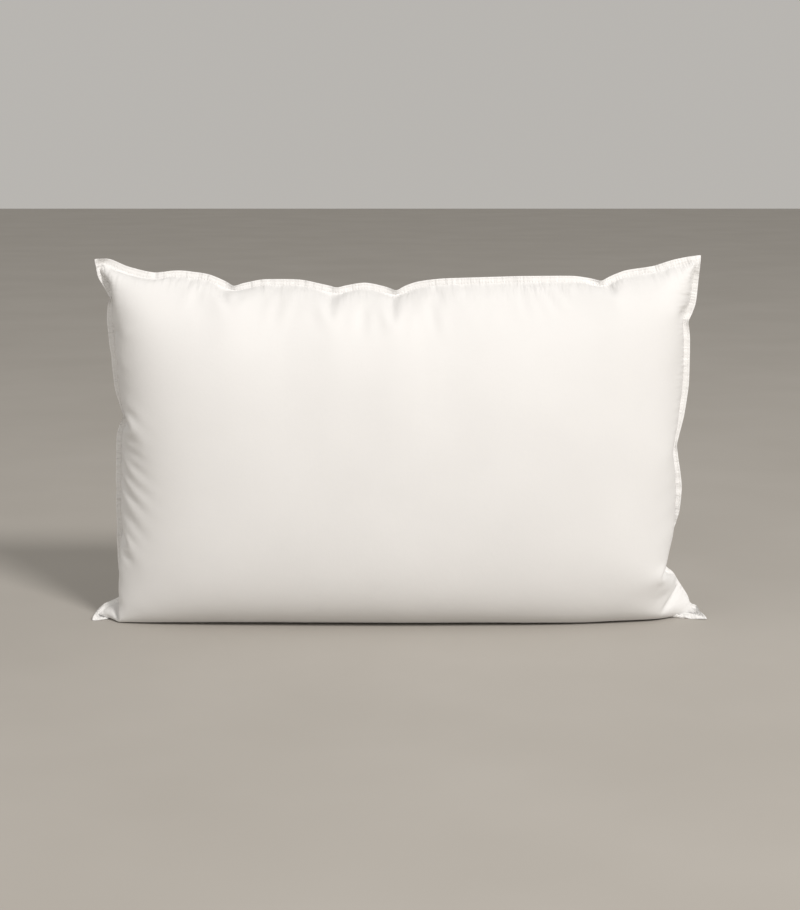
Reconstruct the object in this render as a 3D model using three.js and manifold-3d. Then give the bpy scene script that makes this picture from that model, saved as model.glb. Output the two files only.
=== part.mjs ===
// A bed pillow standing on one long edge, in millimetres.
// +X runs along the long edges, +Y from the front panel to the back panel, and +Z up.
// The origin is in the middle of the base, on the surface that the pillow stands on.
//
// Two percale panels are sewn face to face, turned, and topstitched twice to leave a flat flange.
// Inside, a ticking bag of feathers is surrounded by loose down on the front and the back.
// Along the base the flange is folded flat under the body, so it has no thickness of its own there.

import * as THREE from "three";
import { mergeVertices } from "three/addons/utils/BufferGeometryUtils.js";
import Module from "manifold-3d";

const wasm = await Module();
wasm.setup();

// The stuffed body, measured where it meets the flange.
const HALF_WIDTH_BASE = 364;
const HALF_WIDTH_WAIST = 334;
const HALF_WIDTH_TOP = 349;
const HEIGHT_CORNER = 427;
const HEIGHT_MIDDLE = 391;
const HALF_THICKNESS = 94;
const BASE_HALF_DEPTH = 48;
const WIDEST_AT = 0.32; // share of the height where the body is thickest
const END_ROUNDNESS = 3; // power of the fall-off towards the short sides

// Cloth, thread and clearances.
const WALL = 0.8; // panel with its down-proof finish, taken up to a workable thickness
const HALF_GAP = 0.6; // the seam allowance keeps the two panels this far from the middle plane
const CLEARANCE = 0.3;
const FLANGE = 8;
const THREAD = 0.6;
const INNER_ROW = 1.2; // distance of each thread row from the body
const CLOSING_ROW = 3.6;
const EDGE_ROW = 5;
const SEAM_ROW = 6.8;

// Filling opening, on the -X side, in shares of the height.
const OPENING_FROM = 0.3;
const OPENING_TO = 0.76;

// Care label, standing back from the +X side seam.
const LABEL = { thickness: 0.5, length: 42, height: 28, bottom: 96 };

// The feather core lies this far inside the outer panels.
const CORE_INSET = 40;

// Facets.
const WIDTH_STEPS = 20;
const FOOT_STEPS = 3;
const CROWN_STEPS = 7;
const SIDE_STEPS = 8;

// The rows start just clear of the surface that the pillow stands on, as a share of the height.
const ROW_START = 0.001;

const COLOURS = {
  percale: 0xf2ede8,
  thread: 0xf8f5f1,
  ticking: 0xe9e2d6,
  down: 0xf7f5f0,
  feather: 0xd9d2c6,
  satin: 0xfafafa,
};

const { lerp } = THREE.MathUtils;

// Half width of the body at a share v of its height: the short sides pull in between the corners.
function halfWidth(v) {
  const pull = (HALF_WIDTH_BASE + HALF_WIDTH_TOP) / 2 - HALF_WIDTH_WAIST;
  return lerp(HALF_WIDTH_BASE, HALF_WIDTH_TOP, v) - pull * 4 * v * (1 - v);
}

// Height of the top seam at u, from -1 at one corner to 1 at the other: it sags between them.
function seamHeight(u) {
  return HEIGHT_CORNER - (HEIGHT_CORNER - HEIGHT_MIDDLE) * (1 - u * u);
}

// Rows up the body as { v, depth }: an elliptical foot above the flat base, then an elliptical crown.
function profileRows() {
  const rows = [];
  const footDepth = BASE_HALF_DEPTH / HALF_THICKNESS;
  for (let i = 0; i < FOOT_STEPS; i++) {
    const angle = (i / FOOT_STEPS) * (Math.PI / 2);
    rows.push({ v: WIDEST_AT * (1 - Math.cos(angle)), depth: lerp(footDepth, 1, Math.sin(angle)) });
  }
  for (let i = 0; i < CROWN_STEPS; i++) {
    const angle = (i / CROWN_STEPS) * (Math.PI / 2);
    rows.push({ v: lerp(WIDEST_AT, 1, Math.sin(angle)), depth: Math.cos(angle) });
  }
  rows.push({ v: 1, depth: 0 });
  return rows;
}

// A closed surface from rows of points on the front, mirrored to the back and capped by the flat base.
function bodyGeometry() {
  const rows = profileRows();
  const across = WIDTH_STEPS + 1;
  const positions = [];
  for (const side of [-1, 1]) {
    for (const { v, depth } of rows) {
      for (let i = 0; i < across; i++) {
        const u = Math.sin((i / WIDTH_STEPS - 0.5) * Math.PI);
        const lens = Math.sqrt(Math.max(0, 1 - Math.abs(u) ** END_ROUNDNESS));
        positions.push(u * halfWidth(v), side * HALF_THICKNESS * lens * depth, v * seamHeight(u));
      }
    }
  }
  const back = rows.length * across;
  const faces = [];
  const quad = (a, b, c, d) => faces.push(a, b, c, a, c, d);
  for (let j = 0; j < rows.length - 1; j++) {
    for (let i = 0; i < WIDTH_STEPS; i++) {
      const k = j * across + i;
      quad(k, k + 1, k + across + 1, k + across);
      quad(back + k + across, back + k + across + 1, back + k + 1, back + k);
    }
  }
  for (let i = 0; i < WIDTH_STEPS; i++) {
    quad(i, back + i, back + i + 1, i + 1);
  }
  const geometry = new THREE.BufferGeometry();
  geometry.setAttribute("position", new THREE.Float32BufferAttribute(positions, 3));
  geometry.setIndex(faces);
  return geometry;
}

// A manifold solid from a closed geometry, leaving out the triangles that merging makes empty.
function toSolid(geometry) {
  const bare = geometry.clone();
  bare.deleteAttribute("normal");
  bare.deleteAttribute("uv");
  const merged = mergeVertices(bare, 1e-3);
  const index = Array.from(merged.index.array);
  const kept = [];
  for (let i = 0; i < index.length; i += 3) {
    const [a, b, c] = index.slice(i, i + 3);
    if (a !== b && b !== c && c !== a) kept.push(a, b, c);
  }
  const vertProperties = new Float32Array(merged.attributes.position.array);
  return new wasm.Manifold(new wasm.Mesh({ numProp: 3, vertProperties, triVerts: new Uint32Array(kept) }));
}

function toGeometry(solid) {
  const { vertProperties, triVerts } = solid.getMesh();
  const geometry = new THREE.BufferGeometry();
  geometry.setAttribute("position", new THREE.BufferAttribute(vertProperties, 3));
  geometry.setIndex(new THREE.BufferAttribute(triVerts, 1));
  return geometry;
}

// The body drawn in towards its centre, by the inset at each face.
function bodySolid(inset) {
  const middle = HEIGHT_CORNER / 2;
  const geometry = bodyGeometry();
  geometry.translate(0, 0, -middle);
  geometry.scale(1 - inset / HALF_WIDTH_BASE, 1 - inset / HALF_THICKNESS, 1 - inset / middle);
  geometry.translate(0, 0, middle);
  return toSolid(geometry);
}

// Everything on one side (-1 front, 1 back) of the middle plane, at least `gap` away from it.
function halfSpace(side, gap) {
  const size = 4 * HALF_WIDTH_BASE;
  const box = new THREE.BoxGeometry(size, size, size);
  box.translate(0, side * (size / 2 + gap), 0);
  return toSolid(box);
}

// A line up the left (-1) or right (1) side at a distance from the body, between two shares of its height.
function sideLine(side, distance, from, to) {
  const points = [];
  for (let i = 0; i <= SIDE_STEPS; i++) {
    const v = lerp(from, to, i / SIDE_STEPS);
    points.push(new THREE.Vector2(side * (halfWidth(v) + distance), v * (HEIGHT_CORNER + distance)));
  }
  return points;
}

// The line that runs round the body at a distance from it, from one end of the base to the other.
function outline(distance, from = 0) {
  const points = sideLine(-1, distance, from, 1);
  for (let i = 1; i < WIDTH_STEPS; i++) {
    const u = (2 * i) / WIDTH_STEPS - 1;
    points.push(new THREE.Vector2(u * (HALF_WIDTH_TOP + distance), seamHeight(u) + distance));
  }
  return [...points, ...sideLine(1, distance, from, 1).reverse()];
}

// An upright plate of an XZ outline, from y = near to y = near + depth.
function plate(points, near, depth) {
  const geometry = new THREE.ExtrudeGeometry(new THREE.Shape(points), { depth, bevelEnabled: false });
  geometry.rotateX(Math.PI / 2);
  geometry.translate(0, near + depth, 0);
  return geometry;
}

// Where a layer of the given thickness starts in y, on one side, when it stands `gap` from the middle.
function layerStart(side, gap, thickness) {
  return side < 0 ? -gap - thickness : gap;
}

// One cloth panel: a bowl over the fill, with its half of the flange.
function panel(side) {
  const flange = toSolid(plate(outline(FLANGE), layerStart(side, HALF_GAP, WALL), WALL));
  const outer = bodySolid(0).add(flange).intersect(halfSpace(side, HALF_GAP));
  return toGeometry(outer.subtract(bodySolid(WALL)));
}

// The loose down between one panel and the feather core.
function downFill(side) {
  const cavity = bodySolid(WALL + CLEARANCE).intersect(halfSpace(side, CLEARANCE / 2));
  return toGeometry(cavity.subtract(bodySolid(CORE_INSET)));
}

// One half of the ticking bag round the feathers.
function coreCover(side) {
  const bag = bodySolid(CORE_INSET + CLEARANCE).subtract(bodySolid(CORE_INSET + CLEARANCE + WALL));
  return toGeometry(bag.intersect(halfSpace(side, CLEARANCE / 2)));
}

function coreFill() {
  return toGeometry(bodySolid(CORE_INSET + 2 * CLEARANCE + WALL));
}

// A row of thread round three sides of the flange: on the front (-1), on the back (1) or inside it (0).
function threadRow(side, distance) {
  const start = layerStart(side, HALF_GAP + WALL + CLEARANCE, THREAD);
  const near = side === 0 ? -THREAD / 2 : start;
  const band = [...outline(distance + THREAD, ROW_START), ...outline(distance, ROW_START).reverse()];
  return plate(band, near, THREAD);
}

// The short row that closes the filling opening, on the front of the -X flange.
function closingRow() {
  const outer = sideLine(-1, CLOSING_ROW + THREAD, OPENING_FROM, OPENING_TO);
  const inner = sideLine(-1, CLOSING_ROW, OPENING_FROM, OPENING_TO);
  return plate([...outer, ...inner.reverse()], layerStart(-1, HALF_GAP + WALL + CLEARANCE, THREAD), THREAD);
}

function careLabel() {
  const geometry = new THREE.BoxGeometry(LABEL.thickness, LABEL.length, LABEL.height);
  const middle = LABEL.bottom + LABEL.height / 2;
  const seamX = halfWidth(middle / HEIGHT_CORNER) + FLANGE / 2;
  const start = HALF_GAP + WALL + THREAD + 2 * CLEARANCE;
  geometry.translate(seamX, start + LABEL.length / 2, middle);
  return geometry;
}

const pillow = new THREE.Group();

function addPiece(name, geometry, color, roughness) {
  const mesh = new THREE.Mesh(geometry, new THREE.MeshStandardMaterial({ color, roughness, metalness: 0 }));
  mesh.name = name;
  pillow.add(mesh);
}

addPiece("shell_front", panel(-1), COLOURS.percale, 0.85);
addPiece("shell_back", panel(1), COLOURS.percale, 0.85);
addPiece("down_fill_front", downFill(-1), COLOURS.down, 1);
addPiece("down_fill_back", downFill(1), COLOURS.down, 1);
addPiece("core_cover_front", coreCover(-1), COLOURS.ticking, 0.9);
addPiece("core_cover_back", coreCover(1), COLOURS.ticking, 0.9);
addPiece("core_fill", coreFill(), COLOURS.feather, 1);
addPiece("assembly_seam_thread", threadRow(0, SEAM_ROW), COLOURS.thread, 0.6);
addPiece("inner_needle_thread", threadRow(-1, INNER_ROW), COLOURS.thread, 0.6);
addPiece("inner_bobbin_thread", threadRow(1, INNER_ROW), COLOURS.thread, 0.6);
addPiece("edge_needle_thread", threadRow(-1, EDGE_ROW), COLOURS.thread, 0.6);
addPiece("edge_bobbin_thread", threadRow(1, EDGE_ROW), COLOURS.thread, 0.6);
addPiece("closing_thread", closingRow(), COLOURS.thread, 0.6);
addPiece("care_label", careLabel(), COLOURS.satin, 0.5);

export default pillow;
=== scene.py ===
"""The looks of a bed pillow that stands on one long edge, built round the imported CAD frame.

Each panel is a flat rectangle of percale that is filled, pinched along its seams and settled on the
floor by a small cloth solver. Everything else is built on the two panels that it gives.
"""

import math

import bmesh
import bpy
import numpy as np
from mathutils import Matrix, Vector
from mathutils.bvhtree import BVHTree


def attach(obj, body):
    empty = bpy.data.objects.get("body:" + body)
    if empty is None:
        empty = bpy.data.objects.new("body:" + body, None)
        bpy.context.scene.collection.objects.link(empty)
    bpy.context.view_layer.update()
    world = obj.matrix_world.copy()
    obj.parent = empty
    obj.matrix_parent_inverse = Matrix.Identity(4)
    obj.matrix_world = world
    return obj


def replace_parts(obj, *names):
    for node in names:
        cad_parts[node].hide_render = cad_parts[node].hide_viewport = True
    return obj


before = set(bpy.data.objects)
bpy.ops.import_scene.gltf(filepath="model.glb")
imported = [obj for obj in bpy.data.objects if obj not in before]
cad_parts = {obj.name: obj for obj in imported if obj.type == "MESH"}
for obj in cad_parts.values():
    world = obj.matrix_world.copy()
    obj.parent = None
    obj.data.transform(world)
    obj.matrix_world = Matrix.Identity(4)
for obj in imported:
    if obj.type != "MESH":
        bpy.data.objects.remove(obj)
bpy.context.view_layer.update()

# Flat cut of one panel with its flange, in metres: a queen pillow, 30 by 20 inches.
CUT_WIDTH = 0.762
CUT_HEIGHT = 0.508
FLANGE = 0.0076

# The solver's grids, as cells across the panel. The rows of cells that make the flange are the last value.
COARSE = (75, 50, 1)
MEDIUM = (150, 100, 2)
FINE = (300, 200, 3)

# How hard the filling presses, and how far an overfull place is drawn back in.
PRESS = 1.6
SUCTION = 0.3
# How much more the filling presses at this depth below the top, and the pull of the pillow's weight.
SAG = 0.35
SAG_DEPTH = 0.42
WEIGHT = 0.06
# How strongly a fold holds the filling back, and the share of its motion that a point keeps.
FOLD = 0.6
DAMPING = 0.97
# How firmly the cloth resists shear, as (when stretched, when squeezed).
SHEAR_GAIN = (0.25, 0.1)
# How much of the way back a held point that has strayed is brought in one step.
HOLD_GAIN = 0.5
# Heights at which the flange and the panels rest on the floor, and how far a resting point may slip.
FLANGE_REST = 0.0009
PANEL_REST = 0.0016
SLIP = 0.2
# The rough pillow that the solver starts from: shares of the cut's width and height, half its
# thickness, and the unevenness that lets the cloth buckle.
START_WIDTH = 0.95
START_HEIGHT = 0.86
START_HALF_THICKNESS = 0.075
START_UNEVENNESS = 0.0004
# Thickness that the filling takes up by itself, at the seam and in the middle.
SEAM_LOFT = 0.02
MIDDLE_LOFT = 0.15
# The filling sinks, so the lower corners are fuller out to this distance from them.
FOOT_LOFT = 0.09
FOOT_REACH = 0.12

FRONT = 0
BACK = 1
OUTWARD = np.array([-1.0, 1.0])

# The seam's outer edge as the pillow stands, as (x, y, z) from the lower corner up each side, and
# from left to right along the top and the ends of the base. The first points of a side are the ear
# that lies on the floor. Where y is 0 the seam finds its own way between front and back.
SEAM_LINES = {
    "left": [
        (-0.372, -0.020, 0.001), (-0.366, -0.008, 0.010), (-0.355, 0.008, 0.018), (-0.343, 0.010, 0.024),
        (-0.333, -0.012, 0.029), (-0.339, 0, 0.061), (-0.340, 0, 0.127), (-0.340, 0, 0.166),
        (-0.338, 0, 0.228), (-0.329, 0, 0.247), (-0.339, 0, 0.280), (-0.346, 0, 0.350),
        (-0.347, 0, 0.377), (-0.342, 0, 0.388), (-0.356, -0.004, 0.412), (-0.359, -0.008, 0.434),
    ],
    "right": [
        (0.3735, -0.012, 0.001), (0.363, 0.004, 0.007), (0.354, 0.024, 0.016), (0.345, 0.032, 0.034),
        (0.330, 0.026, 0.056), (0.311, -0.002, 0.072), (0.323, -0.002, 0.093), (0.335, 0, 0.131),
        (0.338, 0, 0.162), (0.330, 0, 0.213), (0.339, 0, 0.250), (0.344, 0, 0.284),
        (0.344, 0, 0.342), (0.3405, 0, 0.361), (0.350, 0, 0.378), (0.355, 0.004, 0.438),
    ],
    "top": [
        (-0.359, -0.008, 0.434), (-0.341, 0, 0.434), (-0.322, 0, 0.425), (-0.289, 0, 0.417),
        (-0.259, 0, 0.421), (-0.224, 0, 0.416), (-0.196, 0, 0.402), (-0.163, 0, 0.410), (-0.118, 0, 0.410),
        (-0.074, 0, 0.400), (-0.041, 0, 0.407), (-0.004, 0, 0.397), (0.018, 0, 0.407), (0.047, 0, 0.411),
        (0.142, 0, 0.414), (0.206, 0, 0.414), (0.238, 0, 0.408), (0.265, 0, 0.421), (0.300, 0, 0.425),
        (0.320, 0, 0.433), (0.355, 0.004, 0.438),
    ],
    "left heel": [
        (-0.372, -0.020, 0.001), (-0.357, -0.016, 0.001), (-0.344, 0.002, 0.002),
        (-0.326, 0.003, 0.012),
    ],
    "right heel": [(0.338, 0.000, 0.001), (0.357, -0.010, 0.001), (0.3735, -0.012, 0.001)],
}
# A depth smaller than this leaves the seam free.
FREE_DEPTH = 0.0005
# How far from the corners the cloth is stiffer, and how far from the lower ones the seam may curl.
STIFF_REACH = 0.04
CURLED_REACH = 0.05
# Points of each side that make its ear, and the share of the cut's side that they take up.
EARS = {"left": (5, 0.135), "right": (6, 0.240)}
# Share of the lower edge that each heel takes up.
HEELS = (0.067, 0.046)


# ---------------------------------------------------------------- cloth solver

def flat_coordinates(cells):
    """Distance across the cut from its middle, and up from its lower edge, at each grid point."""
    across = np.linspace(-CUT_WIDTH / 2, CUT_WIDTH / 2, cells[0] + 1)
    up = np.linspace(0, CUT_HEIGHT, cells[1] + 1)
    return np.meshgrid(across, up, indexing="ij")


def starting_shape(cells, rng):
    """A rough filled pillow: points as (xyz, panel, across, up)."""
    across, up = flat_coordinates(cells)
    u = across / (CUT_WIDTH / 2)
    v = up / CUT_HEIGHT * 2 - 1
    crown = np.sqrt(np.clip((1 - u**4) * (1 - v**4), 0, 1))
    points = np.zeros((3, 2) + across.shape)
    for panel in (FRONT, BACK):
        points[0, panel] = across * START_WIDTH
        points[1, panel] = OUTWARD[panel] * START_HALF_THICKNESS * crown
        points[2, panel] = up * START_HEIGHT
    points += rng.normal(0, START_UNEVENNESS, points.shape)
    return points


def tie(a, b, rest, gain, give):
    """Bring two sets of points to their rest distance. gain is (when stretched, when squeezed).

    give is the share of the length that creases finer than the grid take up before the cloth resists.
    """
    d = b - a
    length = np.sqrt(d[0] * d[0] + d[1] * d[1] + d[2] * d[2]) + 1e-9
    error = 1 - rest / length
    d *= 0.5 * np.where(error > 0, gain[0] * error, gain[1] * np.minimum(error + give, 0))
    a += d
    b -= d


def laplacian(points):
    """Difference of each point from its four neighbours, with free edges."""
    out = np.zeros_like(points)
    step = points[:, :, 1:] - points[:, :, :-1]
    out[:, :, :-1] += step
    out[:, :, 1:] -= step
    step = points[..., 1:] - points[..., :-1]
    out[..., :-1] += step
    out[..., 1:] -= step
    return out


def surface_normals(points):
    """Outward normals, about one long where the cloth isn't sheared."""
    along = np.gradient(points, axis=2)
    up = np.gradient(points, axis=3)
    normal = np.cross(along, up, axis=0)
    normal[:, BACK] *= -1
    size = np.sqrt((normal * normal).sum(axis=0)) + 1e-12
    return normal / size


def ring_mask(cells):
    """True on the points that the flange's stitching holds together."""
    mask = np.zeros((cells[0] + 1, cells[1] + 1), bool)
    rows = cells[2]
    mask[:rows + 1] = True
    mask[-rows - 1:] = True
    mask[:, :rows + 1] = True
    mask[:, -rows - 1:] = True
    return mask


# Folds that run from the seam into the front panel: (share along the side, length, lean, depth).
# Sides run left to right and bottom to top. The lean turns the fold, in radians.
FRONT_FOLDS = {
    "top": [
        (0.015, 0.030, 0.5, 1.3), (0.035, 0.035, 0.3, 1.0), (0.060, 0.025, 0.0, 0.6),
        (0.098, 0.030, 0.2, 0.7), (0.215, 0.040, -0.5, 0.8), (0.230, 0.045, -0.4, 1.0),
        (0.395, 0.065, -0.1, 1.1), (0.408, 0.050, -0.3, 0.6), (0.497, 0.070, -0.1, 1.2),
        (0.520, 0.060, 0.1, 0.6), (0.560, 0.050, 0.2, 0.6), (0.610, 0.040, 0.0, 0.4),
        (0.720, 0.030, 0.3, 0.4), (0.835, 0.045, 0.2, 0.9), (0.930, 0.030, 0.2, 0.5),
    ],
    "left": [
        (0.115, 0.035, -0.7, 0.7), (0.140, 0.050, -0.8, 1.5), (0.165, 0.040, -0.2, 0.9),
        (0.310, 0.035, 0.1, 1.4), (0.345, 0.030, -0.1, 1.1), (0.450, 0.030, 0.1, 0.5),
        (0.590, 0.045, 0.1, 1.1), (0.620, 0.035, 0.3, 0.8), (0.730, 0.030, 0.1, 0.5),
        (0.810, 0.040, 0.0, 0.9), (0.870, 0.025, 0.2, 0.5), (0.905, 0.035, 0.5, 1.2),
        (0.945, 0.030, 0.6, 1.2), (0.970, 0.030, 0.2, 1.0),
    ],
    "right": [
        (0.200, 0.035, -0.8, 0.7), (0.225, 0.050, -0.9, 1.4), (0.245, 0.045, -0.8, 1.0),
        (0.270, 0.045, -0.4, 0.8), (0.330, 0.030, 0.1, 0.6), (0.390, 0.030, 0.0, 0.5),
        (0.450, 0.030, 0.1, 0.6), (0.500, 0.035, 0.1, 0.6), (0.530, 0.045, 0.0, 1.1),
        (0.560, 0.035, -0.1, 0.6), (0.620, 0.030, 0.0, 0.6), (0.680, 0.030, 0.1, 0.5),
        (0.740, 0.030, 0.0, 0.6), (0.800, 0.030, 0.1, 0.5), (0.850, 0.050, 0.1, 1.5),
        (0.875, 0.035, -0.3, 0.8), (0.950, 0.030, -0.5, 0.8),
    ],
    "bottom": [
        (0.080, 0.040, -0.4, 0.6), (0.380, 0.040, 0.1, 0.7), (0.500, 0.040, 0.0, 0.7),
        (0.650, 0.040, 0.1, 0.5), (0.920, 0.040, 0.4, 0.6),
    ],
}


def back_folds(rng):
    """Folds for the panel at the back, in the same style as the front ones."""
    folds = []
    for side, count in (("top", 8), ("left", 6), ("right", 6), ("bottom", 5)):
        for i in range(count):
            share = (i + 0.5 + rng.uniform(-0.3, 0.3)) / count
            length = rng.uniform(0.03, 0.07)
            lean = rng.uniform(-0.35, 0.35)
            folds.append((side, share, length, lean, rng.uniform(0.4, 1.1)))
    return folds


def fold_start(side, share, lean):
    """Where a fold leaves the seam and which way it runs, in the flat cut."""
    half = CUT_WIDTH / 2
    if side in ("top", "bottom"):
        level, inward = (CUT_HEIGHT, -1) if side == "top" else (0, 1)
        return ((share * 2 - 1) * half, level), (math.sin(lean), inward * math.cos(lean))
    inward = 1 if side == "left" else -1
    return (inward * -half, share * CUT_HEIGHT), (inward * math.cos(lean), math.sin(lean))


def fold_field(cells, folds, width):
    """How strongly each grid point is drawn in by the folds, from 0 to about 1."""
    across, up = flat_coordinates(cells)
    field = np.zeros_like(across)
    for side, share, length, lean, depth in folds:
        start, heading = fold_start(side, share, lean)
        dx = across - start[0]
        dz = up - start[1]
        along = dx * heading[0] + dz * heading[1]
        aside = dx * heading[1] - dz * heading[0]
        fade = np.clip(1 - along / length, 0, 1) * (along > -0.01)
        field += depth * fade * np.exp(-(aside / width) ** 2)
    return field


def corner_weight(cells, sides, reach):
    """1 at the lower (0) or upper (1) corners of the cut, fading to 0 within the reach."""
    across, up = flat_coordinates(cells)
    weight = np.zeros_like(across)
    for end in (-1, 1):
        for side in sides:
            far = np.hypot(across - end * CUT_WIDTH / 2, up - side * CUT_HEIGHT)
            weight = np.maximum(weight, np.clip(1 - far / reach, 0, 1))
    return weight


def loft(cells):
    """Thickness that the filling would take up by itself at each point of the cut."""
    across, up = flat_coordinates(cells)
    u = across / (CUT_WIDTH / 2)
    v = up / CUT_HEIGHT * 2 - 1
    middle = MIDDLE_LOFT * np.sqrt((1 - u**4) * (1 - v**4))
    return SEAM_LOFT + middle + FOOT_LOFT * np.sqrt(corner_weight(cells, (0,), FOOT_REACH))


def spread(line, start, end):
    """Shares of the cut for the points of a line, in step with its length, from start to end."""
    steps = np.sqrt((np.diff(line, axis=0) ** 2).sum(axis=1))
    length = np.concatenate([[0], np.cumsum(steps)])
    return start + (end - start) * length / length[-1]


def along_line(line, shares, wanted):
    """Points of a line at the wanted shares, as (xyz, n)."""
    return np.stack([np.interp(wanted, shares, line[:, axis]) for axis in range(3)])


def seam_target(cells):
    """Where the cut's border is led to, and which axes are led, as two arrays of (xyz, across, up)."""
    across = np.linspace(0, 1, cells[0] + 1)
    up = np.linspace(0, 1, cells[1] + 1)
    target = np.zeros((3, cells[0] + 1, cells[1] + 1))
    led = np.zeros(target.shape)

    heels = [np.array(SEAM_LINES["left heel"]), np.array(SEAM_LINES["right heel"])]
    shares = np.concatenate([spread(heels[0], 0, HEELS[0]), spread(heels[1], 1 - HEELS[1], 1)])
    target[:, :, 0] = along_line(np.concatenate(heels), shares, across)
    led[:, :, 0] = (across < HEELS[0]) | (across > 1 - HEELS[1])

    line = np.array(SEAM_LINES["top"])
    target[:, :, -1] = along_line(line, spread(line, 0, 1), across)
    led[:, :, -1] = 1

    for side, column in (("left", 0), ("right", -1)):
        line = np.array(SEAM_LINES[side])
        count, share = EARS[side]
        shares = np.concatenate([spread(line[:count], 0, share), spread(line[count - 1:], share, 1)[1:]])
        target[:, column] = along_line(line, shares, up)
        led[:, column] = 1
    led[1] *= np.abs(target[1]) > FREE_DEPTH
    return target, led


def settle(points, cells, steps, push, pull, squeeze, bend, flat, give, folds, hold=None):
    """Let the filled panels come to rest.

    push is how far the filling presses a point in one step, and pull is how firmly the seam is led
    to its line. squeeze is how much of a thread's shortening is undone in one step, as (panel, seam),
    and give is what finer creases take up, also as (panel, seam). flat keeps the seam in its plane.
    bend is how fast the cloth smooths out, as (everywhere, more at the corners).
    hold is (points, distance): how far a point may wander.
    """
    spacing = CUT_WIDTH / cells[0]
    diagonal = spacing * math.sqrt(2)
    ring = ring_mask(cells)
    full = loft(cells)
    firm = np.where(ring, squeeze[1], squeeze[0])
    slack = np.where(ring, give[1], give[0])
    firm_x = np.minimum(firm[:-1], firm[1:])
    firm_z = np.minimum(firm[:, :-1], firm[:, 1:])
    slack_x = np.minimum(slack[:-1], slack[1:])
    slack_z = np.minimum(slack[:, :-1], slack[:, 1:])
    bend_map = bend[0] * (1 + 2 * ring) + bend[1] * corner_weight(cells, (0, 1), STIFF_REACH)
    flatten = flat * ring * (1 - corner_weight(cells, (0,), CURLED_REACH))
    target, led = seam_target(cells)
    target = target[:, None]
    led = pull * led[:, None]
    floor = np.where(ring, FLANGE_REST, PANEL_REST)
    before = points.copy()
    for _ in range(steps):
        normal = surface_normals(points)
        gap = points[1, BACK] - points[1, FRONT]
        depth = np.clip(points[2].max() - points[2], 0, None) / SAG_DEPTH
        press = PRESS * np.clip(1 - gap / full, -SUCTION, 1) + SAG * depth - FOLD * folds
        press[:, ring] = 0
        moved = points - before
        before = points.copy()
        points += DAMPING * moved + push * press * normal
        points[2] -= push * WEIGHT
        points[1] -= flatten * points[1]
        points += led * (target - points)
        points -= bend_map * laplacian(laplacian(points))
        for a in (0, 1):
            gain = (1.0, firm_x[a::2])
            tie(points[:, :, a:-1:2], points[:, :, a + 1::2], spacing, gain, slack_x[a::2])
            gain = (1.0, firm_z[:, a::2])
            tie(points[..., a:-1:2], points[..., a + 1::2], spacing, gain, slack_z[:, a::2])
            tie(points[:, :, a:-1:2, :-1], points[:, :, a + 1::2, 1:], diagonal, SHEAR_GAIN, give[0])
            tie(points[:, :, a:-1:2, 1:], points[:, :, a + 1::2, :-1], diagonal, SHEAR_GAIN, give[0])
        points[:, :, ring] = points[:, :, ring].mean(axis=1, keepdims=True)
        if hold is not None:
            away = points - hold[0]
            size = np.sqrt((away * away).sum(axis=0)) + 1e-12
            points -= away * np.clip(1 - hold[1] / size, 0, 1) * HOLD_GAIN
        sunk = points[2] < floor
        points[2] = np.where(sunk, floor, points[2])
        for axis in (0, 1):
            points[axis] = np.where(sunk, before[axis] + SLIP * (points[axis] - before[axis]), points[axis])
    return points


def insert_midpoints(points, axis):
    """Twice as many cells along one axis, through a smooth curve."""
    p = np.moveaxis(points, axis, 0)
    first = 2 * p[:1] - p[1:2]
    last = 2 * p[-1:] - p[-2:-1]
    q = np.concatenate([first, p, last])
    mids = (9 * (q[1:-2] + q[2:-1]) - q[:-3] - q[3:]) / 16
    out = np.empty((2 * len(p) - 1,) + p.shape[1:])
    out[::2] = p
    out[1::2] = mids
    return np.moveaxis(out, 0, axis)


def refine(points):
    return insert_midpoints(insert_midpoints(points, 2), 3)


def simulate():
    """Fill and settle the pillow on three grids, each twice as fine as the one before."""
    rng = np.random.default_rng(7)
    front = [(side, *fold) for side, group in FRONT_FOLDS.items() for fold in group]
    behind = back_folds(rng)

    def folds(cells, width):
        return np.stack([fold_field(cells, front, width), fold_field(cells, behind, width)])

    points = starting_shape(COARSE, rng)
    points = settle(
        points, COARSE, 2000, push=4e-6, pull=0.03, squeeze=(0.15, 0.15), bend=(0.006, 0.018),
        flat=0.003, give=(0.07, 0.06), folds=folds(COARSE, 0.012),
    )
    points = refine(points)
    points += rng.normal(0, 0.00015, points.shape)
    points = settle(
        points, MEDIUM, 800, push=1.5e-6, pull=0.02, squeeze=(0.2, 0.5), bend=(0.003, 0.006),
        flat=0.002, give=(0.042, 0.05), folds=1.6 * folds(MEDIUM, 0.008),
    )
    points = refine(points)
    points += rng.normal(0, 0.00005, points.shape)
    return settle(
        points, FINE, 350, push=0.5e-6, pull=0.01, squeeze=(0.5, 1.0), bend=(0.0015, 0),
        flat=0.001, give=(0.026, 0.04), folds=4 * folds(FINE, 0.004), hold=(points.copy(), 0.006),
    )


# ---------------------------------------------------------------- mesh making

def sample(grid, across, up):
    """Values of a (k, across, up) grid at flat coordinates, as (k, n)."""
    cells_x, cells_z = grid.shape[1] - 1, grid.shape[2] - 1
    x = np.clip((across + CUT_WIDTH / 2) / CUT_WIDTH * cells_x, 0, cells_x - 1e-6)
    z = np.clip(up / CUT_HEIGHT * cells_z, 0, cells_z - 1e-6)
    i, j = x.astype(int), z.astype(int)
    fx, fz = x - i, z - j
    low = grid[:, i, j] * (1 - fx) + grid[:, i + 1, j] * fx
    high = grid[:, i, j + 1] * (1 - fx) + grid[:, i + 1, j + 1] * fx
    return low * (1 - fz) + high * fz


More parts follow.
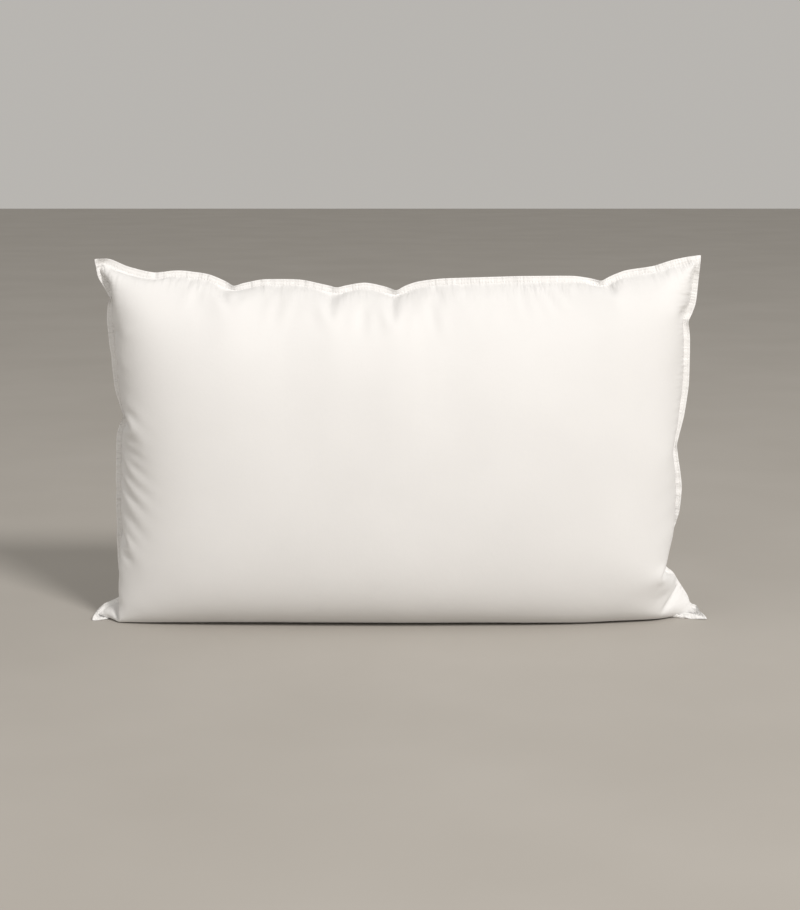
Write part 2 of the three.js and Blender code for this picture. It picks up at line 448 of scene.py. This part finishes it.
def new_piece(name, verts, faces, material, uv=None):
    """A smooth-shaded mesh object that rides on the pillow. uv is one (u, v) for each vertex."""
    mesh = bpy.data.meshes.new(name)
    mesh.from_pydata(np.asarray(verts).tolist(), [], np.asarray(faces).tolist())
    if uv is not None:
        layer = mesh.uv_layers.new(name="cut")
        corners = np.empty(len(mesh.loops), np.int32)
        mesh.loops.foreach_get("vertex_index", corners)
        layer.data.foreach_set("uv", np.asarray(uv)[corners].ravel())
    mesh.polygons.foreach_set("use_smooth", [True] * len(mesh.polygons))
    mesh.materials.append(material)
    obj = bpy.data.objects.new(name, mesh)
    bpy.context.scene.collection.objects.link(obj)
    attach(obj, "root")
    return obj


def grid_faces(columns, rows, flip=False, first=0):
    """Quads over a grid of columns x rows points that starts at vertex `first`."""
    i, j = np.meshgrid(np.arange(columns - 1), np.arange(rows - 1), indexing="ij")
    a = first + (i * rows + j).ravel()
    quads = np.stack([a, a + rows, a + rows + 1, a + 1], axis=1)
    return quads[:, ::-1] if flip else quads


def edge_distance(across, up):
    """Distance from the cut's nearest edge, and the place along that edge."""
    to_side = CUT_WIDTH / 2 - np.abs(across)
    to_end = np.minimum(up, CUT_HEIGHT - up)
    along = np.where(to_side < to_end, up, across)
    return np.minimum(to_side, to_end), along


# Pitch of the stitches, the share of it that shows either way from a stitch's middle, and the
# distance of each row from the cloth's edge.
STITCH = 0.0036
STITCH_REACH = 0.37
SEAM_ROW = 0.0012
EDGE_ROW = 0.0026
INNER_ROW = 0.0072
# How far the flange's plies and the single cloth stand out from the middle surface of the mesh.
PLY = 0.0005
CLOTH = 0.0002
# Relief of the flange: the groove at each row, and the small ribs between the stitches.
GROOVE_DEPTH = 0.00042
GROOVE_WIDTH = 0.0007
RIB_HEIGHT = 0.00018
RIB_MIDDLE = 0.0055
RIB_WIDTH = 0.0042
# Where the stitching turns at a corner, how deep the creases there are, and how far they reach.
EAR = 0.009
EAR_CREASE = 0.0016
EAR_FADE = 0.017
# Distance from a side and from a corner within which the mesh is finer.
FINE_BORDER = 0.0101
EAR_REACH = 0.034


def ear_creases(across, up):
    """Sharp creases that fan out from where the stitching turns each corner."""
    to_side = CUT_WIDTH / 2 - np.abs(across) - EAR
    to_end = np.minimum(up, CUT_HEIGHT - up) - EAR
    far = np.hypot(to_side, to_end)
    turn = np.arctan2(to_end, to_side) * 3.5 + np.sign(across) * 0.7 + np.sign(up - CUT_HEIGHT / 2) * 1.1
    wander = 0.5 * np.sin(far * 420 + across * 90)
    valley = (1 - np.abs(np.sin(turn + wander))) ** 3
    return -EAR_CREASE * valley * np.clip(far / 0.004, 0, 1) * np.exp(-(far / EAR_FADE) ** 2)


def flange_relief(across, up):
    """How far the cloth stands out from the sewn middle surface: plies, stitch grooves and ribs."""
    far, along = edge_distance(across, up)
    plies = PLY * np.sqrt(np.clip(far / 0.0012, 0.02, 1))
    inside = np.clip((far - INNER_ROW) / 0.003, 0, 1)
    plies = plies * (1 - inside) + CLOTH * inside
    groove = sum(np.exp(-((far - row) / GROOVE_WIDTH) ** 2) for row in (EDGE_ROW, INNER_ROW))
    swell = 0.6 + 0.4 * np.sin(along * 61 + 1.3) * np.sin(along * 23)
    rib = np.cos(2 * np.pi * along / STITCH) * swell
    window = np.exp(-((far - RIB_MIDDLE) / RIB_WIDTH) ** 2)
    loose = np.clip((far - 0.0085) / 0.004, 0, 1)
    return plies - GROOVE_DEPTH * groove + RIB_HEIGHT * rib * window + loose * ear_creases(across, up)


def subdivide_border(bm, layer, width):
    """Finer faces where the cloth is within `width` of its edge, and on the ears."""
    near = []
    for face in bm.faces:
        middle = sum((loop[layer].uv for loop in face.loops), Vector((0, 0))) / len(face.loops)
        far = edge_distance(middle.x, middle.y)[0]
        from_corner = max(CUT_WIDTH / 2 - abs(middle.x), min(middle.y, CUT_HEIGHT - middle.y))
        if far < width or from_corner < EAR_REACH:
            near.append(face)
    edges = list({edge for face in near for edge in face.edges})
    bmesh.ops.subdivide_edges(bm, edges=edges, cuts=2, use_grid_fill=True)


def make_panel(name, points, panel, material):
    """One cloth panel with its half of the flange."""
    columns, rows = points.shape[2], points.shape[3]
    across, up = flat_coordinates((columns - 1, rows - 1))
    verts = points[:, panel].reshape(3, -1).T
    uv = np.stack([across.ravel(), up.ravel()], axis=1)
    obj = new_piece(name, verts, grid_faces(columns, rows, panel == BACK), material, uv)
    bm = bmesh.new()
    bm.from_mesh(obj.data)
    layer = bm.loops.layers.uv["cut"]
    subdivide_border(bm, layer, FINE_BORDER)
    bm.normal_update()
    flat = np.array([vert.link_loops[0][layer].uv[:] for vert in bm.verts])
    relief = flange_relief(flat[:, 0], flat[:, 1])
    normals = [vert.normal.copy() for vert in bm.verts]
    for vert, normal, height in zip(bm.verts, normals, relief):
        vert.co += normal * float(height)
        vert.co.z = max(vert.co.z, 0)
    bm.to_mesh(obj.data)
    bm.free()
    return obj


def joined(pairs):
    """One (across, up) pair of arrays from many."""
    return tuple(np.concatenate(part) for part in zip(*pairs))


def stitch_rows(distance):
    """Flat start and end of every stitch on the four straight runs at a distance from the edge."""
    starts, ends = [], []
    for length, level, turned in (
        (CUT_WIDTH, distance, False), (CUT_WIDTH, CUT_HEIGHT - distance, False),
        (CUT_HEIGHT, distance - CUT_WIDTH / 2, True), (CUT_HEIGHT, CUT_WIDTH / 2 - distance, True),
    ):
        count = int((length - 2 * STITCH) / STITCH)
        at = (np.arange(count) + 0.5) * STITCH + (length - count * STITCH) / 2
        low, high = at - STITCH_REACH * STITCH, at + STITCH_REACH * STITCH
        fixed = np.full(count, level)
        if turned:
            starts.append((fixed, low))
            ends.append((fixed, high))
        else:
            starts.append((low - CUT_WIDTH / 2, fixed))
            ends.append((high - CUT_WIDTH / 2, fixed))
    return joined(starts), joined(ends)


THREAD_RADIUS = 0.0002
THREAD_LIFT = 0.0001
SEAM_THREAD_RADIUS = 0.00012


def make_stitches(name, points, normals, panel, runs, material, radius=THREAD_RADIUS, lift=THREAD_LIFT):
    """Separate stitches lying on one side of the flange."""
    start, end = runs
    shares = np.array([0.0, 0.14, 0.5, 0.86, 1.0])
    rise = np.array([-0.9, 0.1, 0.45, 0.1, -0.9]) * radius
    girth = np.array([0.45, 0.95, 1.0, 0.95, 0.45]) * radius
    sides = 6
    stations = []
    for share in shares:
        across = start[0] + (end[0] - start[0]) * share
        up = start[1] + (end[1] - start[1]) * share
        place = sample(points[:, panel], across, up)
        normal = sample(normals[:, panel], across, up)
        normal /= np.sqrt((normal * normal).sum(axis=0))
        stations.append((place + normal * (flange_relief(across, up) + lift), normal))
    heading = stations[-1][0] - stations[0][0]
    heading /= np.sqrt((heading * heading).sum(axis=0))
    verts = []
    for (place, normal), up_by, wide in zip(stations, rise, girth):
        aside = np.cross(heading, normal, axis=0)
        for k in range(sides):
            angle = 2 * math.pi * k / sides
            verts.append(place + normal * (up_by + wide * math.cos(angle)) + aside * wide * math.sin(angle))
    verts = np.array(verts).transpose(2, 0, 1)
    one = []
    for s in range(len(shares) - 1):
        for k in range(sides):
            a, b = s * sides + k, s * sides + (k + 1) % sides
            one.append((a, b, b + sides, a + sides))
    last = (len(shares) - 1) * sides
    for k in range(1, sides - 1, 2):
        one.append((0, (k + 2) % sides, k + 1, k))
        one.append((last, last + k, last + k + 1, last + (k + 2) % sides))
    one = np.array(one)
    count, per = verts.shape[0], verts.shape[1]
    faces = (one[None] + (np.arange(count) * per)[:, None, None]).reshape(-1, 4)
    return new_piece(name, verts.reshape(-1, 3), faces, material)


# ---------------------------------------------------------------- materials

# Each material wanders between a darker and a lighter colour.
PERCALE_COLOURS = ((0.80, 0.795, 0.79), (0.83, 0.825, 0.82))
FLANGE_WHITE = (0.87, 0.865, 0.86)
TICKING_COLOURS = ((0.66, 0.61, 0.53), (0.72, 0.67, 0.59))
SATIN_COLOURS = ((0.86, 0.86, 0.85), (0.9, 0.9, 0.89))
DOWN_COLOURS = ((0.78, 0.76, 0.73), (0.92, 0.91, 0.88))
FEATHER_COLOURS = ((0.50, 0.46, 0.40), (0.78, 0.75, 0.70))
THREAD_COLOURS = ((0.80, 0.78, 0.75), (0.88, 0.86, 0.83))
# Depth of each material's relief.
PUCKER_HEIGHT = 0.010
WEAVE_HEIGHT = 0.00009
TUFT_HEIGHT = 0.0024
TWIST_HEIGHT = 0.00004


def new_material(name):
    material = bpy.data.materials.new(name)
    material.use_nodes = True
    nodes = material.node_tree.nodes
    return material, nodes, material.node_tree.links, nodes["Principled BSDF"]


def colour_between(nodes, links, factor, low, high, shader):
    """Base colour that wanders between two colours as the factor goes from 0.3 to 0.7."""
    ramp = nodes.new("ShaderNodeValToRGB")
    ramp.color_ramp.elements[0].position = 0.3
    ramp.color_ramp.elements[1].position = 0.7
    ramp.color_ramp.elements[0].color = (*low, 1)
    ramp.color_ramp.elements[1].color = (*high, 1)
    links.new(factor, ramp.inputs["Fac"])
    links.new(ramp.outputs["Color"], shader.inputs["Base Color"])


def noise(nodes, links, vector, scale, detail):
    texture = nodes.new("ShaderNodeTexNoise")
    texture.inputs["Scale"].default_value = scale
    texture.inputs["Detail"].default_value = detail
    links.new(vector, texture.inputs["Vector"])
    return texture.outputs["Fac"]


def wave(nodes, links, vector, scale, direction):
    texture = nodes.new("ShaderNodeTexWave")
    texture.bands_direction = direction
    texture.inputs["Scale"].default_value = scale
    texture.inputs["Distortion"].default_value = 0.6
    texture.inputs["Detail"].default_value = 1.0
    links.new(vector, texture.inputs["Vector"])
    return texture.outputs["Fac"]


def maths(nodes, links, kind, a, b=0.0):
    """The output of one maths node. a and b are numbers or sockets."""
    node = nodes.new("ShaderNodeMath")
    node.operation = kind
    for socket, value in zip(node.inputs, (a, b)):
        if isinstance(value, (int, float)):
            socket.default_value = value
        else:
            links.new(value, socket)
    return node.outputs["Value"]


def bump_from(nodes, links, height, distance, shader, under=None):
    """Relief of the given depth, on top of an earlier bump's normal if there is one."""
    bump = nodes.new("ShaderNodeBump")
    bump.inputs["Distance"].default_value = distance
    links.new(height, bump.inputs["Height"])
    if under is not None:
        links.new(under, bump.inputs["Normal"])
    links.new(bump.outputs["Normal"], shader.inputs["Normal"])
    return bump.outputs["Normal"]


def cut_place(nodes):
    """Coordinates in the flat cut, in metres."""
    source = nodes.new("ShaderNodeUVMap")
    source.uv_map = "cut"
    return source.outputs["UV"]


def border_distances(nodes, links, vector):
    """Distance in the flat cut from the nearest short side, and from the nearest long edge."""
    place = nodes.new("ShaderNodeSeparateXYZ")
    links.new(vector, place.inputs["Vector"])
    across = maths(nodes, links, "ABSOLUTE", place.outputs["X"])
    side = maths(nodes, links, "SUBTRACT", CUT_WIDTH / 2, across)
    level = maths(nodes, links, "SUBTRACT", place.outputs["Y"], CUT_HEIGHT / 2)
    end = maths(nodes, links, "SUBTRACT", CUT_HEIGHT / 2, maths(nodes, links, "ABSOLUTE", level))
    return side, end


def puckers(nodes, links, vector, far, reach, stretch):
    """Fine creases that run away from an edge and die out within the reach."""
    mapping = nodes.new("ShaderNodeMapping")
    mapping.inputs["Scale"].default_value = (*stretch, 1)
    links.new(vector, mapping.inputs["Vector"])
    creases = noise(nodes, links, mapping.outputs["Vector"], 1, 2.0)
    fade = nodes.new("ShaderNodeMapRange")
    fade.interpolation_type = "SMOOTHERSTEP"
    fade.inputs["From Min"].default_value = 0
    fade.inputs["From Max"].default_value = reach
    fade.inputs["To Min"].default_value = 1
    fade.inputs["To Max"].default_value = 0
    links.new(far, fade.inputs["Value"])
    patchy = maths(nodes, links, "POWER", noise(nodes, links, vector, 22, 1.0), 2)
    strength = maths(nodes, links, "MULTIPLY", fade.outputs["Result"], patchy)
    return maths(nodes, links, "MULTIPLY", creases, strength)


def weave_height(nodes, links, vector, pitch):
    """Crossing threads, with slubs and a faint crumple."""
    bands = 2 * math.pi / pitch / 20
    warp = wave(nodes, links, vector, bands, "X")
    weft = wave(nodes, links, vector, bands, "Y")
    threads = maths(nodes, links, "MULTIPLY", maths(nodes, links, "ADD", warp, weft), 0.25)
    slubs = maths(nodes, links, "MULTIPLY", noise(nodes, links, vector, 900, 2.0), 0.5)
    crumple = noise(nodes, links, vector, 260, 4.0)
    return maths(nodes, links, "ADD", maths(nodes, links, "ADD", threads, slubs), crumple)


def woven_material(name, low, high, pitch, roughness, sheen):
    """Plain-weave cloth with slow changes of tone."""
    material, nodes, links, shader = new_material(name)
    vector = cut_place(nodes)
    bump_from(nodes, links, weave_height(nodes, links, vector, pitch), WEAVE_HEIGHT, shader)
    colour_between(nodes, links, noise(nodes, links, vector, 9, 2.0), low, high, shader)
    slub = maths(nodes, links, "MULTIPLY", noise(nodes, links, vector, 900, 2.0), 0.12)
    links.new(maths(nodes, links, "ADD", slub, roughness - 0.06), shader.inputs["Roughness"])
    shader.inputs["Sheen Weight"].default_value = sheen
    shader.inputs["Sheen Roughness"].default_value = 0.4
    shader.inputs["Specular IOR Level"].default_value = 0.3
    return material


def percale_material():
    """The pillow's cloth: puckered along the seams, and whiter where the flange lies four layers thick."""
    material = woven_material("percale", *PERCALE_COLOURS, pitch=0.0004, roughness=0.78, sheen=0.12)
    nodes, links = material.node_tree.nodes, material.node_tree.links
    shader = nodes["Principled BSDF"]
    vector = cut_place(nodes)
    side, end = border_distances(nodes, links, vector)
    along_side = puckers(nodes, links, vector, side, reach=0.055, stretch=(26, 150))
    along_end = puckers(nodes, links, vector, end, reach=0.060, stretch=(150, 24))
    creases = maths(nodes, links, "ADD", along_side, along_end)
    weave = shader.inputs["Normal"].links[0].from_socket
    bump_from(nodes, links, creases, PUCKER_HEIGHT, shader, weave)

    flange = maths(nodes, links, "LESS_THAN", maths(nodes, links, "MINIMUM", side, end), FLANGE)
    mix = nodes.new("ShaderNodeMix")
    mix.data_type = "RGBA"
    links.new(flange, mix.inputs["Factor"])
    links.new(shader.inputs["Base Color"].links[0].from_socket, mix.inputs["A"])
    mix.inputs["B"].default_value = (*FLANGE_WHITE, 1)
    links.new(mix.outputs["Result"], shader.inputs["Base Color"])
    return material


def fluff_material(name, low, high, scale):
    """Loose down or packed feathers."""
    material, nodes, links, shader = new_material(name)
    vector = nodes.new("ShaderNodeTexCoord").outputs["Object"]
    tufts = noise(nodes, links, vector, scale, 8.0)
    colour_between(nodes, links, tufts, low, high, shader)
    bump_from(nodes, links, tufts, TUFT_HEIGHT, shader)
    shader.inputs["Roughness"].default_value = 0.95
    shader.inputs["Sheen Weight"].default_value = 0.3
    return material


def thread_material():
    """Spun thread: a fine twist along a matte, slightly bright strand."""
    material, nodes, links, shader = new_material("sewing_thread")
    vector = nodes.new("ShaderNodeTexCoord").outputs["Object"]
    twist = noise(nodes, links, vector, 2600, 2.0)
    colour_between(nodes, links, twist, *THREAD_COLOURS, shader)
    bump_from(nodes, links, twist, TWIST_HEIGHT, shader)
    shader.inputs["Roughness"].default_value = 0.55
    shader.inputs["Sheen Weight"].default_value = 0.1
    return material


# ---------------------------------------------------------------- filling and label

def core_shares(count_x, count_z):
    """Places across the core, from -1 to 1 each way, crowded towards its edges."""
    x = np.sin(np.linspace(-0.5, 0.5, count_x) * math.pi)
    z = np.sin(np.linspace(-0.5, 0.5, count_z) * math.pi)
    return np.meshgrid(x, z, indexing="ij")


# The core's flat size, and its share of the pillow's thickness.
CORE_HALF_WIDTH = 0.322
CORE_HALF_HEIGHT = 0.196
CORE_SHARE = 0.52
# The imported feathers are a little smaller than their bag, and have lumps of this height.
FEATHER_SHARE = CORE_SHARE - 0.03
FEATHER_SHRINK = 0.002
LUMP_HEIGHT = 0.0012
# How far the down stays from the seam, and from the panel and the core either side of it.
DOWN_MARGIN = 0.026
DOWN_GAP = 0.004
DOWN_LUMP_HEIGHT = 0.002
CORE_GAP = 0.0012
# Sides of the cloth, how often pieces are moved to theirs, and how far they stay from the cloth.
INSIDE = -1
OUTSIDE = 1
CLEARING_PASSES = 3
DOWN_CLEARANCE = 0.003
CORE_CLEARANCE = 0.005
FEATHER_CLEARANCE = CORE_CLEARANCE + 0.002


def cloth_tree(points):
    """Both panels as one tree for finding the nearest cloth."""
    columns, rows = points.shape[2], points.shape[3]
    verts = points.transpose(1, 2, 3, 0).reshape(-1, 3)
    faces = np.concatenate([grid_faces(columns, rows), grid_faces(columns, rows, True, columns * rows)])
    return BVHTree.FromPolygons(verts.tolist(), faces.tolist())


def keep_clear(verts, tree, clearance, side):
    """Move points of one side of the cloth, INSIDE or OUTSIDE, that are on the other or too near it."""
    for _ in range(CLEARING_PASSES):
        for vert in verts:
            hit, normal, _, _ = tree.find_nearest(Vector(vert))
            if side * (Vector(vert) - hit).dot(normal) < clearance:
                vert[:] = hit + side * clearance * normal
    verts[:, 2] = np.maximum(verts[:, 2], clearance)


def on_panels(points, across, up):
    """Points of the front and the back panel at flat coordinates of any shape."""
    flat = [sample(points[:, panel], across.ravel(), up.ravel()) for panel in (FRONT, BACK)]
    return [panel.reshape((3,) + across.shape) for panel in flat]


def core_layer(points, x, z, share, shrink=0.0):
    """Points of the core's front and back skins at the given places, as (xyz, panel, ...)."""
    across = x * (CORE_HALF_WIDTH - shrink)
    up = CUT_HEIGHT / 2 + z * (CORE_HALF_HEIGHT - shrink)
    pair = on_panels(points, across, up)
    middle = (pair[0] + pair[1]) / 2
    half = (pair[1] - pair[0]) / 2
    swell = share * np.sqrt(np.clip((1 - x**4) * (1 - z**4), 0, 1))
    return np.stack([middle - half * swell, middle + half * swell], axis=1)


def lumps(place, size, height):
    """A smooth bumpy field, from the place alone."""
    a = np.sin(place[0] / size + 2 * np.sin(place[2] / size * 0.7))
    b = np.sin(place[2] / size * 1.3 + 2 * np.sin(place[0] / size * 0.6 + 1))
    return height * a * b


def closed_faces(columns, rows):
    """Two grids, front then back, joined round their rim into one closed surface."""
    front = grid_faces(columns, rows)
    back = grid_faces(columns, rows, True, columns * rows)
    index = np.arange(columns * rows).reshape(columns, rows)
    rim = np.concatenate([index[:, 0], index[-1, 1:], index[-2::-1, -1], index[0, -2::-1]])
    after = np.roll(rim[:-1], -1)
    rim = rim[:-1]
    walls = np.stack([rim, rim + columns * rows, after + columns * rows, after], axis=1)
    return np.concatenate([front, back, walls])


def make_closed(name, front, back, material, tree, clearance):
    """A padded body between two layers, kept in behind the cloth."""
    columns, rows = front.shape[1], front.shape[2]
    verts = np.concatenate([front.reshape(3, -1).T, back.reshape(3, -1).T])
    keep_clear(verts, tree, clearance, INSIDE)
    return new_piece(name, verts, closed_faces(columns, rows), material)


def make_down(name, points, panel, material, tree):
    """Loose down between a panel and the core, with a lumpy face towards each."""
    x, z = core_shares(90, 60)
    half_width = CUT_WIDTH / 2 - DOWN_MARGIN
    half_height = CUT_HEIGHT / 2 - DOWN_MARGIN
    across, up = x * half_width, CUT_HEIGHT / 2 + z * half_height
    pair = on_panels(points, across, up)
    middle = (pair[0] + pair[1]) / 2
    half = pair[panel] - middle
    core_x = across / CORE_HALF_WIDTH
    core_z = (up - CUT_HEIGHT / 2) / CORE_HALF_HEIGHT
    swell = CORE_SHARE * np.sqrt(np.clip((1 - core_x**4), 0, 1) * np.clip((1 - core_z**4), 0, 1))
    depth = np.sqrt((half * half).sum(axis=0)) + 1e-6
    gap = DOWN_GAP + np.abs(lumps(middle, 0.011, DOWN_LUMP_HEIGHT))
    outer = middle + half * np.clip(1 - gap / depth, 0.1, 1)
    inner = middle + half * np.clip(swell + CORE_GAP / depth, 0.02, 0.9)
    layers = (outer, inner) if panel == FRONT else (inner, outer)
    obj = make_closed(name, layers[0], layers[1], material, tree, DOWN_CLEARANCE)
    return obj


def make_core_cover(name, points, panel, material, tree):
    """One panel of the ticking bag, slightly puckered at its seam."""
    x, z = core_shares(120, 80)
    skin = core_layer(points, x, z, CORE_SHARE)[:, panel]
    rim = np.maximum(np.abs(x), np.abs(z))
    skin[1] += lumps(skin, 0.006, LUMP_HEIGHT) * rim**6 * (1 - rim**20)
    uv = np.stack([(x * CORE_HALF_WIDTH).ravel(), (z * CORE_HALF_HEIGHT).ravel()], axis=1)
    verts = skin.reshape(3, -1).T.copy()
    keep_clear(verts, tree, CORE_CLEARANCE, INSIDE)
    obj = new_piece(name, verts, grid_faces(120, 80, panel == BACK), material, uv)
    return obj


def make_core(points, material, tree):
    """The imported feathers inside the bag, lumpy except at the rim."""
    x, z = core_shares(90, 60)
    skins = core_layer(points, x, z, FEATHER_SHARE, FEATHER_SHRINK)
    lumpy = lumps(skins[:, 0], 0.014, LUMP_HEIGHT)
    skins[1] += lumpy * np.array([1, -1])[:, None, None] * (1 - x**8) * (1 - z**8)
    front, back = skins[:, 0], skins[:, 1]
    obj = make_closed("feather_core", front, back, material, tree, FEATHER_CLEARANCE)
    return obj


LABEL_WIDTH = 0.028
LABEL_LENGTH = 0.042
# How far up the side the label is caught, how deep in the flange, and how far it stays off the cloth.
LABEL_UP = 0.165
LABEL_DEPTH = 0.005
LABEL_CLEARANCE = 0.0012
# How the label leans away from the pillow, droops (in radians at its end) and ripples.
LABEL_LEAN = 0.10
LABEL_DROOP = 0.35
LABEL_RIPPLE = 0.0012


def make_label(points, material, tree):
    """A blank tape caught in the side seam, standing back from it and drooping."""
    columns, rows = 16, 24
    b, a = np.meshgrid(np.linspace(0, 1, columns), np.linspace(0, 1, rows), indexing="ij")
    up = LABEL_UP + LABEL_WIDTH * (b - 0.5)
    across = np.full_like(up, CUT_WIDTH / 2 - LABEL_DEPTH)
    root = sample(points[:, BACK], across.ravel(), up.ravel()).reshape((3,) + up.shape)
    root = root.mean(axis=1, keepdims=True) + (root - root.mean(axis=1, keepdims=True)) * (1 - a)
    root[2] = root[2].mean(axis=0)[None] + (b - 0.5) * LABEL_WIDTH * 0.98
    run = a * LABEL_LENGTH
    angle = -LABEL_DROOP * a
    place = root.copy()
    place[0] += LABEL_LEAN * run + LABEL_RIPPLE * np.sin(b * 3 + a * 4)
    place[1] += 0.0008 + run * np.cos(angle) * 0.97
    place[2] += run * np.sin(angle)
    verts = place.reshape(3, -1).T.copy()
    keep_clear(verts, tree, LABEL_CLEARANCE, OUTSIDE)
    uv = np.stack([(b * LABEL_WIDTH).ravel(), (a * LABEL_LENGTH).ravel()], axis=1)
    obj = new_piece("care_label_tape", verts, grid_faces(columns, rows), material, uv)
    return obj


# ---------------------------------------------------------------- stage

LIGHT_AIM = Vector((0, 0, 0.2))


def area_light(name, place, size, power, colour):
    """A round soft light that looks at the middle of the pillow."""
    light = bpy.data.lights.new(name, "AREA")
    light.shape = "DISK"
    light.size = size
    light.energy = power
    light.color = colour
    obj = bpy.data.objects.new(name, light)
    obj.location = place
    obj.rotation_euler = (LIGHT_AIM - Vector(place)).to_track_quat("-Z", "Y").to_euler()
    bpy.context.scene.collection.objects.link(obj)


FLOOR_LOW = (0.42, 0.395, 0.36)
FLOOR_HIGH = (0.45, 0.425, 0.39)
FLOOR_REACH = 12.0
STUDIO_COLOUR = (0.86, 0.83, 0.785)
STUDIO_STRENGTH = 0.56


def make_stage():
    """A plain floor, an even studio and two soft lights."""
    floor_material, nodes, links, shader = new_material("pale_floor")
    vector = nodes.new("ShaderNodeTexCoord").outputs["Object"]
    tone = noise(nodes, links, vector, 3, 3.0)
    colour_between(nodes, links, tone, FLOOR_LOW, FLOOR_HIGH, shader)
    shader.inputs["Roughness"].default_value = 0.7
    mesh = bpy.data.meshes.new("floor")
    corners = [(x * FLOOR_REACH, y * FLOOR_REACH, 0) for x, y in ((-1, -1), (1, -1), (1, 1), (-1, 1))]
    mesh.from_pydata(corners, [], [(0, 1, 2, 3)])
    mesh.materials.append(floor_material)
    floor = bpy.data.objects.new("floor", mesh)
    bpy.context.scene.collection.objects.link(floor)

    world = bpy.data.worlds.new("studio")
    world.use_nodes = True
    background = world.node_tree.nodes["Background"]
    background.inputs["Color"].default_value = (*STUDIO_COLOUR, 1)
    background.inputs["Strength"].default_value = STUDIO_STRENGTH
    bpy.context.scene.world = world

    area_light("key", (2.7, -4.6, 4.4), size=1.5, power=335, colour=(1.0, 0.97, 0.94))
    area_light("fill", (-2.6, -3.0, 1.2), size=2.0, power=9, colour=(1.0, 0.96, 0.92))


# The camera stands in front of the pillow and looks slightly down on it. The lens is in millimetres.
SENSOR = 36.0
LENS = 83.83
CAMERA_DISTANCE = 2.505
CAMERA_HEIGHT = 0.595
CAMERA_PITCH = math.radians(8.98)


def make_camera():
    data = bpy.data.cameras.new("camera")
    data.sensor_width = SENSOR
    data.lens = LENS
    camera = bpy.data.objects.new("camera", data)
    camera.location = (0, -CAMERA_DISTANCE, CAMERA_HEIGHT)
    camera.rotation_euler = (math.pi / 2 - CAMERA_PITCH, 0, 0)
    bpy.context.scene.collection.objects.link(camera)
    bpy.context.scene.camera = camera


# ---------------------------------------------------------------- the pillow

# The solver rests the pillow a little above the floor. This much of the gap isn't needed by the plies.
FLOOR_GAP = 0.0007
# The closing stitches: where they start and end up the side, how far in from the edge they lie, their
# pitch, and their reach either way.
OPENING = (0.152, 0.386)
CLOSING_ROW = 0.0049
CLOSING_PITCH = 0.8 * STITCH
CLOSING_REACH = 0.3 * STITCH


def make_pillow():
    points = simulate()
    points[2] -= FLOOR_GAP
    normals = surface_normals(points)
    percale = percale_material()
    ticking = woven_material("ticking", *TICKING_COLOURS, pitch=0.0006, roughness=0.85, sheen=0.1)
    satin = woven_material("satin_tape", *SATIN_COLOURS, pitch=0.0003, roughness=0.5, sheen=0.1)
    thread = thread_material()
    down = fluff_material("loose_down", *DOWN_COLOURS, scale=160)
    feather = fluff_material("packed_feathers", *FEATHER_COLOURS, scale=110)

    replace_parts(make_panel("front_panel", points, FRONT, percale), "shell_front")
    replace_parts(make_panel("back_panel", points, BACK, percale), "shell_back")

    inner, edge = stitch_rows(INNER_ROW), stitch_rows(EDGE_ROW)
    for name, panel, runs, node in (
        ("inner_row_needle_stitches", FRONT, inner, "inner_needle_thread"),
        ("inner_row_bobbin_stitches", BACK, inner, "inner_bobbin_thread"),
        ("edge_row_needle_stitches", FRONT, edge, "edge_needle_thread"),
        ("edge_row_bobbin_stitches", BACK, edge, "edge_bobbin_thread"),
    ):
        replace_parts(make_stitches(name, points, normals, panel, runs, thread), node)
    hidden = stitch_rows(SEAM_ROW)
    seam = make_stitches(
        "assembly_seam_stitches", points, normals, FRONT, hidden, thread, SEAM_THREAD_RADIUS, -PLY,
    )
    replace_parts(seam, "assembly_seam_thread")
    closing = make_stitches("closing_stitches", points, normals, FRONT, closing_run(), thread)
    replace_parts(closing, "closing_thread")

    tree = cloth_tree(points)
    for name, panel, node in (
        ("down_front", FRONT, "down_fill_front"), ("down_back", BACK, "down_fill_back"),
    ):
        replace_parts(make_down(name, points, panel, down, tree), node)
    for name, panel, node in (
        ("core_bag_front", FRONT, "core_cover_front"), ("core_bag_back", BACK, "core_cover_back"),
    ):
        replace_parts(make_core_cover(name, points, panel, ticking, tree), node)
    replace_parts(make_core(points, feather, tree), "core_fill")
    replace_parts(make_label(points, satin, tree), "care_label")


def closing_run():
    """The stitches that close the filling opening, on the flange of the -X side."""
    at = np.arange(*OPENING, CLOSING_PITCH)
    level = np.full(len(at), CLOSING_ROW - CUT_WIDTH / 2)
    return (level, at - CLOSING_REACH), (level, at + CLOSING_REACH)


bpy.context.scene.view_settings.view_transform = "Standard"
make_camera()
make_stage()
make_pillow()
